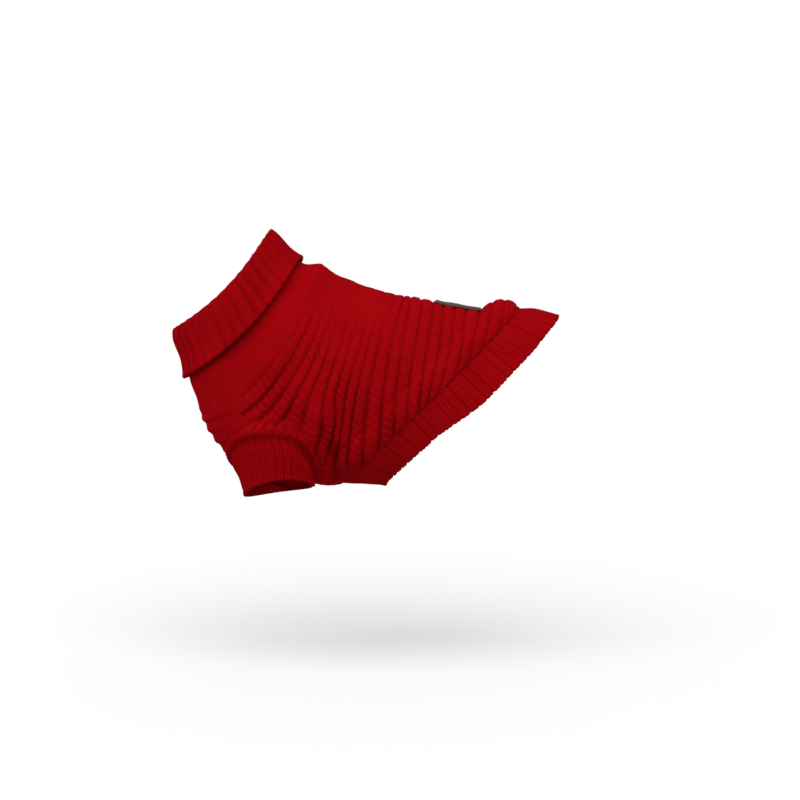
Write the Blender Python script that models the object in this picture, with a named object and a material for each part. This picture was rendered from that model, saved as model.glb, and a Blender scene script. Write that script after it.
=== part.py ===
"""Knitted dog sweater in its worn, hollow form.

Metres, +Z up, neck towards -X and tail towards +X, symmetric about Y = 0.
The origin is on the inner face of the back at the withers, where the wearer carries it.

Seven pieces: back panel, belly panel, turned-down collar, hem band, two leg cuffs and a
leather label. The body is a tube of slanted sections from the neck seam to the hem. Its
pieces are walls, and each seam is a narrow gap.
"""
import math
from collections import namedtuple

import bmesh
import bpy
from mathutils import Vector

MM = 0.001

# Cloth
BODY_WALL = 3.0 * MM
RIB_WALL = 2.6 * MM
LABEL_WALL = 1.6 * MM
SEAM_GAP = 0.3 * MM
FACET_CLEARANCE = 0.75 * MM    # where a piece lies on a panel, over the panel's facets
NECK_EDGE = 0.05              # where the panels start, in ridges from the neck seam

# Hem: the body is cut square to this direction, which points back and down
HEM_DIRECTION = Vector((math.cos(math.radians(45.3)), 0.0, -math.sin(math.radians(45.3))))
HEM_SEAM_DISTANCE = 135.2 * MM
HEM_BAND_WIDTH = 31.5 * MM
HEM_BAND_INSET = 0.8 * MM
HEM_BAND_FLARE = 1.2 * MM

# The body puffs out just before the hem seam gathers it
PUFF_HEIGHT = 8.5 * MM
PUFF_LENGTH = 24.0 * MM
PUFF_FLATNESS = 0.7           # under 1 gives the puff a broad top and steep ends
PUFF_SIDE_SHARE = 0.3

# Label on the back, ahead of the puff: the back panel's rows and columns that it covers,
# which make it about 44 mm long and 34 mm wide
LABEL_FIRST_ROW = 14
LABEL_LAST_ROW = 19
LABEL_HALF_COLUMNS = 2

COLLAR_FULLNESS = 0.9
BELLY_CROWDING = 0.75         # under 1 sets the belly's columns closer towards its middle

# Mesh steps
ROW_CROWDING = 0.8            # under 1 sets the body's rows closer towards the hem
BACK_COLUMNS = 40
BACK_ROWS = 23
BELLY_COLUMNS = 14
BELLY_ROWS = 16
BAND_COLUMNS = 56
BAND_ROWS = 3
COLLAR_COLUMNS = 44
CUFF_COLUMNS = 32
CORE_BACK_COLUMNS = 60
CORE_BELLY_COLUMNS = 32
CORE_RINGS = 36
CORE_FIRST_RIDGE = 1.0
CORE_RIDGES = 15.0            # how far the core runs from its first ridge
SHARP_ANGLE = math.radians(50)
RIDGE_STEP = 0.05             # steps for the form's slopes, in ridges and in radians
ANGLE_STEP = 0.02
CUT_HALVINGS = 32
PLACE_ROUNDS = 6

# The free edge of the hem band waves: how much wider the band is, in millimetres, at each
# angle from the back point
HemWave = namedtuple("HemWave", "angle_deg wider")
HEM_WAVES = (
    HemWave(0.0, 0.0),
    HemWave(30.0, 0.5),
    HemWave(65.0, 3.0),
    HemWave(88.0, 4.0),
    HemWave(118.0, -7.0),
    HemWave(140.0, -8.0),
    HemWave(180.0, -3.5),
)

# Body sections, in millimetres. ridge counts the cable ridges from the neck seam. A section
# runs from its back point to its belly point, both at Y = 0, and its sides are carried
# towards the tail by bow. fullness under 1 squares off its lower half. seam_deg is where the
# back panel ends, turning from the back point.
Section = namedtuple(
    "Section", "ridge back_x back_z belly_x belly_z half_width bow fullness seam_deg")
BODY_SECTIONS = (
    Section(-1.5, -34.0, 25.0, -150.0, -92.0, 60.0, 19.0, 0.92, 119.0),
    Section(0.0, -22.0, 17.2, -143.0, -109.0, 64.0, 22.0, 0.88, 120.0),
    Section(2.0, -7.5, 7.0, -134.5, -135.0, 68.0, 26.0, 0.78, 129.0),
    Section(4.0, 6.5, 1.2, -118.0, -158.5, 71.0, 27.0, 0.70, 140.0),
    Section(5.0, 14.0, -2.0, -97.0, -175.0, 72.0, 22.0, 0.68, 143.0),
    Section(6.0, 21.0, -4.6, -64.0, -188.5, 73.0, 14.0, 0.68, 145.0),
    Section(7.0, 28.0, -6.8, -33.0, -190.8, 73.0, 7.0, 0.70, 146.0),
    Section(10.0, 49.0, -11.8, 4.0, -194.0, 71.5, -2.0, 0.80, 146.0),
    Section(15.0, 106.0, -21.8, 80.0, -195.5, 67.0, -1.0, 0.90, 146.0),
    Section(17.3, 131.5, -25.8, 108.0, -196.0, 65.2, -0.5, 0.93, 146.0),
    Section(20.5, 168.0, -25.0, 148.0, -196.5, 63.0, 0.0, 0.95, 146.0),
    Section(26.0, 224.0, -37.0, 208.0, -197.0, 60.0, 0.0, 0.95, 146.0),
)

# Collar, in millimetres, from just above the neck seam up the stand, over the fold and down
# the turned part to its free edge. These are the middle of the wall, as rings like the body's.
CollarRing = namedtuple("CollarRing", "name top_x top_z front_x front_z half_width bow")
COLLAR_RINGS = (
    CollarRing("stand_low", -38.5, 16.0, -147.0, -94.5, 58.8, 19.0),
    CollarRing("stand_middle", -52.0, 26.2, -151.0, -74.0, 52.2, 15.5),
    CollarRing("stand_top", -64.8, 41.8, -158.0, -52.5, 47.2, 12.5),
    CollarRing("fold", -70.2, 49.3, -163.2, -45.5, 48.2, 12.3),
    CollarRing("turn_top", -65.0, 45.6, -163.2, -55.5, 52.4, 12.8),
    CollarRing("turn_middle", -53.8, 33.2, -156.8, -72.0, 57.0, 13.8),
    CollarRing("turn_edge", -41.8, 22.0, -152.8, -87.0, 61.2, 14.4),
)

# Leg cuffs, in millimetres, from inside the body down to the free end. out and in are
# distances from the middle plane on the outer and the inner side of the leg.
CuffRing = namedtuple("CuffRing", "name front_x rear_x out_y in_y front_z rear_z out_z in_z")
CUFF_RINGS = (
    CuffRing("inside", -90.0, -34.0, 58.0, 32.0, -136.0, -142.0, -126.0, -160.0),
    CuffRing("armhole", -100.0, -24.5, 72.0, 22.5, -150.0, -155.0, -137.0, -184.0),
    CuffRing("roll", -108.0, -21.5, 77.0, 20.5, -160.0, -164.0, -143.5, -190.0),
    CuffRing("middle", -101.0, -22.5, 76.5, 21.0, -177.0, -178.0, -160.0, -195.0),
    CuffRing("end", -92.0, -29.5, 74.0, 21.5, -200.0, -194.0, -183.0, -199.5),
)


def clear_scene():
    for obj in list(bpy.data.objects):
        bpy.data.objects.remove(obj)


def cloth_material(name, colour, roughness):
    material = bpy.data.materials.new(name)
    material.use_nodes = True
    shader = material.node_tree.nodes["Principled BSDF"]
    shader.inputs["Base Color"].default_value = (*colour, 1.0)
    shader.inputs["Roughness"].default_value = roughness
    shader.inputs["Metallic"].default_value = 0.0
    return material


# ---- the body's form ----

def section_at(ridge):
    """The body section at any ridge, on a smooth curve through the table's rows."""
    rows = BODY_SECTIONS
    low = 0
    while low < len(rows) - 2 and ridge > rows[low + 1].ridge:
        low += 1
    start, end = rows[low], rows[low + 1]
    before = rows[max(low - 1, 0)]
    after = rows[min(low + 2, len(rows) - 1)]
    span = end.ridge - start.ridge
    s = (ridge - start.ridge) / span
    values = [ridge]
    for i in range(1, len(start)):
        slope_start = (end[i] - before[i]) / (end.ridge - before.ridge) * span
        slope_end = (after[i] - start[i]) / (after.ridge - start.ridge) * span
        values.append(
            start[i] * (2 * s ** 3 - 3 * s ** 2 + 1) + slope_start * (s ** 3 - 2 * s ** 2 + s)
            + end[i] * (3 * s ** 2 - 2 * s ** 3) + slope_end * (s ** 3 - s ** 2))
    return Section(*values)


def ring_point(back, belly, half_width, bow, fullness, angle):
    """A point of a slanted oval ring, turning from the back (0) over +Y to the belly (pi)."""
    middle = (back + belly) / 2
    reach = (back - belly) / 2
    tailward = Vector((reach.z, 0.0, -reach.x)).normalized()
    sine = math.sin(angle)
    power = fullness if math.cos(angle) < 0 else 1.0
    across = math.copysign(abs(sine) ** power, sine)
    return (middle + reach * math.cos(angle) + tailward * bow * sine ** 2
            + Vector((0.0, half_width * across, 0.0)))


def base_point(ridge, angle):
    row = section_at(ridge)
    back = Vector((row.back_x, 0.0, row.back_z)) * MM
    belly = Vector((row.belly_x, 0.0, row.belly_z)) * MM
    return ring_point(back, belly, row.half_width * MM, row.bow * MM, row.fullness, angle)


def outward(ridge, angle):
    along = base_point(ridge + RIDGE_STEP, angle) - base_point(ridge - RIDGE_STEP, angle)
    around = base_point(ridge, angle + ANGLE_STEP) - base_point(ridge, angle - ANGLE_STEP)
    return along.cross(around).normalized()


def body_point(ridge, angle, lift=0.0):
    """A point of the body's outer face, with the puff before the hem, moved out by lift."""
    point = base_point(ridge, angle)
    before_seam = HEM_SEAM_DISTANCE - point.dot(HEM_DIRECTION)
    if 0.0 < before_seam < PUFF_LENGTH:
        share = PUFF_SIDE_SHARE + (1.0 - PUFF_SIDE_SHARE) * max(0.0, math.cos(angle)) ** 2
        rise = math.sin(math.pi * before_seam / PUFF_LENGTH) ** PUFF_FLATNESS
        lift += PUFF_HEIGHT * share * rise
    return point + outward(ridge, angle) * lift


def ridge_at_cut(angle, distance):
    """The ridge where the form meets the plane at this distance along the hem direction."""
    low, high = 0.0, BODY_SECTIONS[-1].ridge
    for _ in range(CUT_HALVINGS):
        middle = (low + high) / 2
        if base_point(middle, angle).dot(HEM_DIRECTION) < distance:
            low = middle
        else:
            high = middle
    return low


def belly_angle(share, seam):
    """Angle on the belly side, evenly spaced across: share -1 to 1 runs seam to seam."""
    if share == 0.0:
        return math.pi
    reach = abs(share) ** (1.0 / BELLY_CROWDING) * math.sin(seam)
    turn = math.pi - math.asin(reach)
    return turn if share > 0 else 2 * math.pi - turn


# ---- meshes ----

def add_grid(work, rows, wraps, flipped=False):
    """Faces over rows of points. Returns the rows of vertices."""
    made = [[work.verts.new(point) for point in row] for row in rows]
    for upper, lower in zip(made, made[1:]):
        for j in range(len(upper) if wraps else len(upper) - 1):
            k = (j + 1) % len(upper)
            corners = (upper[j], lower[j], lower[k], upper[k])
            work.faces.new(reversed(corners) if flipped else corners)
    return made


def object_from(work, name, material=None):
    mesh = bpy.data.meshes.new(name)
    work.to_mesh(mesh)
    work.free()
    if material:
        mesh.materials.append(material)
        mesh.shade_smooth()
        mesh.set_sharp_from_angle(angle=SHARP_ANGLE)
    obj = bpy.data.objects.new(name, mesh)
    bpy.context.collection.objects.link(obj)
    return obj


def panel_object(name, outer_rows, inner_rows, material, wraps):
    """A wall between an outer and an inner grid of points, closed along its edges."""
    work = bmesh.new()
    outer = add_grid(work, outer_rows, wraps)
    inner = add_grid(work, inner_rows, wraps, flipped=True)
    if wraps:
        edges = [(outer[0] + outer[0][:1], inner[0] + inner[0][:1]),
                 (outer[-1][:1] + outer[-1][::-1], inner[-1][:1] + inner[-1][::-1])]
    else:
        def rim(grid):
            first = grid[0]
            right = [row[-1] for row in grid]
            last = list(reversed(grid[-1]))
            left = [row[0] for row in reversed(grid)]
            return first[:-1] + right[:-1] + last[:-1] + left
        edges = [(rim(outer), rim(inner))]
    for outside, inside in edges:
        for j in range(len(outside) - 1):
            work.faces.new((outside[j], outside[j + 1], inside[j + 1], inside[j]))
    return object_from(work, name, material)


def tube_object(name, rows, material, offset):
    """A tube of cloth on a stack of rings, thickened by a Solidify modifier."""
    work = bmesh.new()
    add_grid(work, rows, wraps=True)
    obj = object_from(work, name, material)
    thicken = obj.modifiers.new("Wall", "SOLIDIFY")
    thicken.thickness = RIB_WALL
    thicken.offset = offset
    return obj


def capped_tube(name, rings):
    """A closed solid on a stack of rings, for cutting only."""
    work = bmesh.new()
    made = add_grid(work, rings, wraps=True)
    for ring in (made[0], made[-1]):
        centre = work.verts.new(sum((v.co for v in ring), Vector()) / len(ring))
        for j in range(len(ring)):
            work.faces.new((ring[j], ring[(j + 1) % len(ring)], centre))
    bmesh.ops.recalc_face_normals(work, faces=work.faces)
    obj = object_from(work, name)
    obj.hide_render = True
    obj.display_type = "WIRE"
    return obj


def cut_away(obj, cutter):
    modifier = obj.modifiers.new("Cut by " + cutter.name, "BOOLEAN")
    modifier.operation = "DIFFERENCE"
    modifier.object = cutter


def panel_places(row_count, column_count, angle_of):
    """Ridge and angle of each point of a body panel, from the neck seam to the hem seam.

    angle_of gives the angle of a column, from its share across the panel and the ridge.
    """
    rows = []
    for i in range(row_count + 1):
        row = []
        for j in range(column_count + 1):
            ridge = 0.0
            for _ in range(PLACE_ROUNDS):
                angle = angle_of(2.0 * j / column_count - 1.0, ridge)
                hem = ridge_at_cut(angle, HEM_SEAM_DISTANCE - SEAM_GAP / 2)
                ridge = NECK_EDGE + (hem - NECK_EDGE) * (i / row_count) ** ROW_CROWDING
            row.append((ridge, angle))
        rows.append(row)
    return rows


def seam_angle(ridge, gap):
    row = section_at(ridge)
    return math.radians(row.seam_deg) + gap / (row.half_width * MM)


def wall_on_body(name, places, material):
    outer = [[body_point(*place) for place in row] for row in places]
    inner = [[body_point(*place, -BODY_WALL) for place in row] for row in places]
    return panel_object(name, outer, inner, material, wraps=False)


def back_places():
    def angle_of(share, ridge):
        return share * seam_angle(ridge, -SEAM_GAP / 2)
    return panel_places(BACK_ROWS, BACK_COLUMNS, angle_of)


def back_panel(material):
    return wall_on_body("back_panel", back_places(), material)


def belly_panel(material):
    def angle_of(share, ridge):
        return belly_angle(-share, seam_angle(ridge, SEAM_GAP / 2))
    return wall_on_body("belly_panel", panel_places(BELLY_ROWS, BELLY_COLUMNS, angle_of), material)


def band_wider(angle):
    turn = math.degrees(min(angle, 2 * math.pi - angle))
    for start, end in zip(HEM_WAVES, HEM_WAVES[1:]):
        if turn <= end.angle_deg:
            share = (turn - start.angle_deg) / (end.angle_deg - start.angle_deg)
            ease = (1 - math.cos(math.pi * share)) / 2
            return (start.wider + (end.wider - start.wider) * ease) * MM
    return HEM_WAVES[-1].wider * MM


def band_distance(angle, along):
    """Distance along the hem direction, from the hem seam (0) to the free edge (1)."""
    return HEM_SEAM_DISTANCE + SEAM_GAP / 2 + (HEM_BAND_WIDTH + band_wider(angle)) * along


def hem_band(material):
    outer, inner = [], []
    for i in range(BAND_ROWS + 1):
        along = i / BAND_ROWS
        lift = HEM_BAND_FLARE * along ** 2 - HEM_BAND_INSET
        angles = [2 * math.pi * j / BAND_COLUMNS for j in range(BAND_COLUMNS)]
        places = [(ridge_at_cut(angle, band_distance(angle, along)), angle) for angle in angles]
        outer.append([body_point(*place, lift) for place in places])
        inner.append([body_point(*place, lift - RIB_WALL) for place in places])
    return panel_object("hem_band", outer, inner, material, wraps=True)


def collar(material):
    angles = [2 * math.pi * j / COLLAR_COLUMNS for j in range(COLLAR_COLUMNS)]
    rows = [[body_point(0.0, angle, -RIB_WALL / 2) for angle in angles]]
    for ring in COLLAR_RINGS:
        top = Vector((ring.top_x, 0.0, ring.top_z)) * MM
        front = Vector((ring.front_x, 0.0, ring.front_z)) * MM
        rows.append([
            ring_point(top, front, ring.half_width * MM, ring.bow * MM, COLLAR_FULLNESS, angle)
            for angle in angles])
    outer, inner = [], []
    for i, row in enumerate(rows):
        below = rows[max(i - 1, 0)]
        above = rows[min(i + 1, len(rows) - 1)]
        outer.append([])
        inner.append([])
        for j, point in enumerate(row):
            around = row[(j + 1) % COLLAR_COLUMNS] - row[j - 1]
            normal = around.cross(above[j] - below[j]).normalized()
            if i == 0:
                normal = outward(0.0, angles[j])
            outer[-1].append(point + normal * RIB_WALL / 2)
            inner[-1].append(point - normal * RIB_WALL / 2)
    outer.reverse()
    inner.reverse()
    return panel_object("collar", outer, inner, material, wraps=True)


def cuff_ring(ring, side, inset=0.0):
    """A cuff ring through its front, outer, rear and inner points, drawn in by inset."""
    middle_x = (ring.front_x + ring.rear_x) / 2 * MM
    reach_x = (ring.rear_x - ring.front_x) / 2 * MM - inset
    middle_y = (ring.out_y + ring.in_y) / 2 * MM
    reach_y = (ring.out_y - ring.in_y) / 2 * MM - inset
    middle_z = (ring.front_z + ring.rear_z + ring.out_z + ring.in_z) / 4 * MM
    pitch = (ring.rear_z - ring.front_z) / 2 * MM
    roll = (ring.out_z - ring.in_z) / 2 * MM
    saddle = (ring.front_z + ring.rear_z - ring.out_z - ring.in_z) / 4 * MM
    points = []
    for j in range(CUFF_COLUMNS):
        turn = 2 * math.pi * j / CUFF_COLUMNS
        back, out = -math.cos(turn), math.sin(turn)
        points.append(Vector((
            middle_x + reach_x * back,
            side * (middle_y + reach_y * out),
            middle_z + pitch * back + roll * out + saddle * math.cos(2 * turn))))
    return points


def cuff(name, side, material, body_core):
    rows = [cuff_ring(ring, side) for ring in CUFF_RINGS]
    if side > 0:
        rows.reverse()
    obj = tube_object(name, rows, material, offset=-1.0)
    cut_away(obj, body_core)
    return obj


def leg_core(name, side):
    """The hollow of a cuff, which opens the armhole in the panels."""
    rings = [cuff_ring(ring, side, inset=RIB_WALL) for ring in CUFF_RINGS]
    return capped_tube(name, rings)


def body_core():
    """The body's outer form as a solid, slightly larger, that trims the cuffs to it."""
    rings = []
    for i in range(CORE_RINGS + 1):
        ridge = CORE_FIRST_RIDGE + CORE_RIDGES * i / CORE_RINGS
        seam = seam_angle(ridge, 0.0)
        angles = [seam * (2.0 * j / CORE_BACK_COLUMNS - 1.0) for j in range(CORE_BACK_COLUMNS)]
        angles += [belly_angle(1.0 - 2.0 * j / CORE_BELLY_COLUMNS, seam)
                   for j in range(CORE_BELLY_COLUMNS)]
        rings.append([body_point(ridge, angle, FACET_CLEARANCE) for angle in angles])
    return capped_tube("body_core", rings)


def label(material):
    """The label follows the back panel's own points, moved out."""
    middle = BACK_COLUMNS // 2
    places = [
        row[middle - LABEL_HALF_COLUMNS:middle + LABEL_HALF_COLUMNS + 1]
        for row in back_places()[LABEL_FIRST_ROW:LABEL_LAST_ROW + 1]]
    inner = [[body_point(*place, FACET_CLEARANCE) for place in row] for row in places]
    outer = [[body_point(*place, FACET_CLEARANCE + LABEL_WALL) for place in row] for row in places]
    return panel_object("label", outer, inner, material, wraps=False)


def main():
    clear_scene()
    knit = cloth_material("red cable knit", (0.34, 0.002, 0.006), 0.9)
    rib = cloth_material("red rib knit", (0.33, 0.002, 0.007), 0.9)
    leather = cloth_material("dark brown leather", (0.07, 0.025, 0.016), 0.55)
    core = body_core()
    legs = [leg_core("leg_core_left", -1), leg_core("leg_core_right", 1)]
    for panel in (back_panel(knit), belly_panel(knit)):
        for leg in legs:
            cut_away(panel, leg)
    hem_band(rib)
    collar(rib)
    cuff("cuff_left", -1, rib, core)
    cuff("cuff_right", 1, rib, core)
    label(leather)


main()
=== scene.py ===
"""Looks of a cable-knit dog sweater in its worn, hollow form.

Metres, +Z up, neck towards -X and tail towards +X, symmetric about Y = 0. Every knitted piece
starts as a flat grid, one column to a few stitches, and is carried onto the body's form with
the cables, ribs and folds of the knitting in it. It then gets its inner face.
"""
import math

import bmesh
import bpy
import numpy as np
from mathutils import Matrix, Vector
from mathutils.bvhtree import BVHTree


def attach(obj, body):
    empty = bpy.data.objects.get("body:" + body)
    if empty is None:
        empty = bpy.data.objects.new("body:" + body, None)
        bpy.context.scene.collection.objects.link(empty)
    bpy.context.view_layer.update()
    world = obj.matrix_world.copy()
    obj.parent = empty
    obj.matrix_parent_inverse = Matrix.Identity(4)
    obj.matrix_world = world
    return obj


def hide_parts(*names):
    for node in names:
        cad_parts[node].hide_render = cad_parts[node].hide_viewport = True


bl_info = {
    "name": "Knitted dog sweater",
    "version": (1, 0, 0),
    "blender": (4, 5, 0),
    "location": "3D View > Sidebar > Sweater",
    "description": "Makes the pieces of a cable-knit dog sweater in its worn form",
    "category": "Object",
}

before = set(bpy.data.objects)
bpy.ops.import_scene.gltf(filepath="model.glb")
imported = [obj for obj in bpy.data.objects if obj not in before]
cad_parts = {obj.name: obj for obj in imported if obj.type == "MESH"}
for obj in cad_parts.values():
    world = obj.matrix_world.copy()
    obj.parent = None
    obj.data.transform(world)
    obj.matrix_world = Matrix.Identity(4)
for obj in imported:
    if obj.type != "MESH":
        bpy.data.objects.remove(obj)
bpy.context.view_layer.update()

MM = 0.001

# ---- the sweater's form, close to the frame's ----

SEAM_GAP = 0.3 * MM
NECK_EDGE = 0.05                 # where the panels start, in ridges from the neck seam
NECK_LAP = 0.06                  # and how far their edges lap under the collar's seam
HEM_LAP = 1.0 * MM               # how far the hem band's seam allowance lies in the panels
SIDE_LAP = 1.2 * MM              # how far the belly panel's edges lap under the back panel
HEM_SLANT = math.radians(45.3)
HEM_DIRECTION = np.array((math.cos(HEM_SLANT), 0.0, -math.sin(HEM_SLANT)))
HEM_SEAM_DISTANCE = 135.2 * MM
HEM_BAND_WIDTH = 31.5 * MM
HEM_BAND_INSET = 0.8 * MM
HEM_BAND_FLARE = 1.2 * MM
PUFF_HEIGHT = 8.5 * MM
PUFF_LENGTH = 24.0 * MM
PUFF_FLATNESS = 0.7              # under 1 gives the puff a broad top and steep ends
PUFF_SIDE_SHARE = 0.3
LABEL_CLEARANCE = -0.1 * MM      # the label's stitches pull it this far into the cables
LABEL_REACH = (0.6555, 0.8430)   # from neck seam to hem seam, along the back
LABEL_HALF_ANGLE = math.radians(14.6)
LABEL_LENGTH = 44 * MM
LABEL_WIDTH = 34 * MM
STITCH_INSET = 3.0 * MM
STITCH_PITCH = 4.2 * MM
STITCH_THICKNESS = 0.8 * MM
LABEL_CURL = 0.7 * MM            # how far the label's front edge lifts
RIDGE_STEP = 0.05                # steps for the form's slopes
ANGLE_STEP = 0.02
CUT_HALVINGS = 26                # rounds to find the hem's cut on the form
CREASE_BEND = 0.12               # how far a crease bows, as a share of its length
SLACK_HEIGHT = 0.3               # of the soft waves in loose cloth, in millimetres

# Body sections, in millimetres: ridge (cables from the neck seam), back x, back z, belly x,
# belly z, half width, bow, fullness, and the angle of the side seam from the back, in degrees
BODY_SECTIONS = np.array((
    (-1.5, -34.0, 25.0, -150.0, -92.0, 60.0, 19.0, 0.92, 119.0),
    (0.0, -22.0, 17.2, -143.0, -109.0, 64.0, 22.0, 0.88, 120.0),
    (2.0, -7.5, 7.0, -134.5, -135.0, 68.0, 26.0, 0.78, 129.0),
    (4.0, 6.5, 1.2, -118.0, -158.5, 71.0, 27.0, 0.70, 140.0),
    (5.0, 14.0, -2.0, -97.0, -175.0, 72.0, 22.0, 0.68, 143.0),
    (6.0, 21.0, -4.6, -64.0, -188.5, 73.0, 14.0, 0.68, 145.0),
    (7.0, 28.0, -6.8, -33.0, -190.8, 73.0, 7.0, 0.70, 146.0),
    (10.0, 49.0, -11.8, 4.0, -194.0, 71.5, -2.0, 0.80, 146.0),
    (15.0, 106.0, -21.8, 80.0, -195.5, 67.0, -1.0, 0.90, 146.0),
    (17.3, 131.5, -25.8, 108.0, -196.0, 65.2, -0.5, 0.93, 146.0),
    (20.5, 168.0, -25.0, 148.0, -196.5, 63.0, 0.0, 0.95, 146.0),
    (26.0, 224.0, -37.0, 208.0, -197.0, 60.0, 0.0, 0.95, 146.0),
))

# Where the grooves between the cables lie: groove, counted from the neck seam, and its ridge at
# each turn from the back
CABLE_TURNS = np.radians((20.0, 60.0, 90.0, 115.0, 146.0))
CABLE_RIDGES = np.array((
    (0.0, 0.0, 0.0, 0.0, 0.0, 0.0),
    (1.0, 0.5, 0.6, 0.9, 1.3, 1.4),
    (4.0, 2.9, 3.1, 3.8, 4.6, 4.8),
    (6.0, 4.8, 5.0, 5.5, 6.4, 6.7),
    (8.0, 7.2, 7.0, 7.1, 8.0, 8.5),
    (10.0, 10.0, 9.75, 10.0, 10.4, 10.8),
    (12.0, 11.45, 11.7, 11.9, 12.3, 12.6),
    (14.0, 13.2, 13.4, 13.5, 13.7, 14.0),
    (16.0, 14.95, 14.95, 14.7, 14.9, 15.1),
    (18.0, 17.0, 16.7, 16.4, 16.4, 16.5),
    (22.5, 21.5, 21.1, 20.6, 20.4, 20.4),
))

# How much wider the hem band is at each angle from the back: degrees, millimetres
HEM_WAVES = np.array((
    (0.0, 0.0), (30.0, 0.5), (65.0, 3.0), (88.0, 4.0), (118.0, -4.0), (140.0, -4.5),
    (180.0, -1.0)))

# Soft troughs in the body's cloth on each side, in millimetres as seen from the side:
# start x, start z, end x, end z, half width, depth
CREASES = {
    -1.0: np.array((
        (-18.0, -138.0, -11.0, -195.0, 5.5, 3.0),
        (-132.0, -88.0, -108.0, -141.0, 14.0, 1.6),
        (-57.0, -131.0, -86.0, -147.0, 3.2, 2.0),
        (-6.0, -181.0, 48.0, -192.0, 9.0, 2.4),
        (85.0, -55.0, 92.0, -94.0, 5.0, 1.2),
        (-40.0, -60.0, -75.0, -98.0, 7.0, 1.0))),
    1.0: np.array((
        (-15.0, -140.0, -5.0, -190.0, 6.5, 2.4),
        (-127.0, -92.0, -102.0, -137.0, 15.0, 1.5),
        (-60.0, -128.0, -90.0, -143.0, 3.5, 1.8),
        (0.0, -184.0, 52.0, -190.0, 10.0, 2.2),
        (58.0, -62.0, 79.0, -112.0, 6.0, 1.4),
        (-25.0, -50.0, -52.0, -92.0, 8.0, 1.1))),
}

COLLAR_FULLNESS = 0.9
COLLAR_LANE = 3                  # every third valley between the collar's ribs is deep
COLLAR_BEAD = 0.7 * MM           # how far each rib's end hangs below the free edge
COLLAR_BEAD_LENGTH = 7 * MM
COLLAR_FLARE = 1.4 * MM          # how far the free edge stands out
COLLAR_FLARE_LENGTH = 18 * MM
COLLAR_LIP = 0.8 * MM            # and how much further at its very end
COLLAR_LIP_LENGTH = 2 * MM

# Collar rings, in millimetres, up the stand, over the fold and down the turned part:
# top x, top z, front x, front z, half width, bow
COLLAR_RINGS = np.array((
    (-38.5, 16.0, -147.0, -94.5, 58.8, 19.0),
    (-52.0, 26.2, -151.0, -74.0, 52.2, 15.5),
    (-64.8, 41.8, -158.0, -52.5, 47.2, 12.5),
    (-70.2, 49.3, -163.2, -45.5, 48.2, 12.3),
    (-65.0, 45.6, -163.2, -55.5, 52.4, 12.8),
    (-53.8, 33.2, -156.8, -72.0, 57.0, 13.8),
    (-41.8, 22.0, -151.8, -91.5, 61.2, 14.4),
))

CUFF_LAP = 2.0 * MM              # how far a cuff reaches into the body's cloth
CUFF_ROLL = 2.8 * MM             # how far the cloth rolls over at the top of a cuff
CUFF_FRONT_ROLL = 1.8 * MM       # and how much further at its front
CUFF_ROLL_WIDTH = 2.8 * MM
CUFF_WAIST = 3.2 * MM            # how far the cuff draws in below the roll
CUFF_WAIST_WIDTH = 6 * MM
CUFF_WAIST_DROP = 8 * MM
CUFF_GATHERS = 1.6 * MM          # depth of the gathers above the roll
CUFF_LIP = 0.8 * MM              # how far the free edge stands out
CUTTER_SIDES = 96                # of the shapes that open the armholes

# Cuff rings, in millimetres, from inside the body down to the free end:
# front x, rear x, out y, in y, front z, rear z, out z, in z
CUFF_RINGS = np.array((
    (-90.0, -34.0, 58.0, 32.0, -136.0, -142.0, -126.0, -160.0),
    (-100.0, -24.5, 72.0, 22.5, -150.0, -155.0, -137.0, -184.0),
    (-108.5, -21.5, 77.0, 20.5, -164.0, -164.0, -143.5, -190.0),
    (-98.8, -22.5, 76.5, 21.0, -180.0, -177.0, -160.0, -195.0),
    (-92.5, -26.0, 74.0, 21.5, -200.0, -191.5, -183.0, -199.5),
))

# ---- the knitting ----

BODY_STITCH = (3.4, 2.6)         # wale and course of each yarn, in millimetres
RIB_STITCH = (2.05, 2.3)
COLLAR_WALES = 171
CUFF_WALES = 102
ROPES = 22                       # cables from the neck seam to past the hem seam
ROPE_PITCH = 8.6 * MM
ROPE_SWELL = 0.02                # how far a groove strays round each lobe, in ridges
ROPE_DRIFT = 0.04                # and how far it drifts along the body
ROPE_CROWN = 0.25                # how much lower a rope's edges are than its middle
STRAND_HEIGHT = 0.29             # the strands' height, as a share of a groove's depth
STRAND_LEAN = 0.9                # how far a strand turns from one edge of a rope to the other
BRIDGE_HEIGHT = 0.3              # how much of a groove the strands fill where they cross it
CALM_TURN = 84.0                 # the cables are faint this near the back, in degrees,
CALM_ROPES = 13.5                # and this near the neck seam, in ropes
CALM_SHARE = 0.85
ARMHOLE_TOP = -133 * MM
TUCK = 0.15 * MM                 # how far an edge sinks where another piece lies on it
BELLY_END = 10.6                 # where the belly panel's grid ends, in ridges
CHEST_RIB_DEPTH = 0.1 * MM
CHEST_LUMP = 1.0 * MM            # the loose rolls across the front of the chest
CHEST_LUMP_PITCH = 11.5 * MM
CHEST_LUMP_REACH = 38 * MM       # how far they run to each side
HEM_ARCH = 2.5 * MM              # how far the hem band bows up over the tail
HEM_ROLL = 0.5 * MM              # how far its free edge rolls out
HEM_TUCK = 0.5 * MM              # how far its seam allowance sinks into the panels

# ---- colours that few would change, as sRGB hex ----

FLECK_PINK = "#9C0C1C"
LEATHER_EDGE = "#2A100C"
LEATHER_RUBBED = "#40231A"
THREAD_GROOVE_SHADE = "#2E1A10"
PAPER_GREY = "#B4B4B4"

# ---- the stage, in metres ----

FLOOR_DROP = 0.36
FLOOR_REACH = 40.0
CAMERA_PLACE = (0.0528, -1.406, -0.0269)
CAMERA_PITCH = math.radians(90 - 3.52)
CAMERA_LENS = 65.9               # millimetres, on a sensor 36 millimetres wide
CAMERA_SENSOR = 36.0


# ---- the form ----

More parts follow.
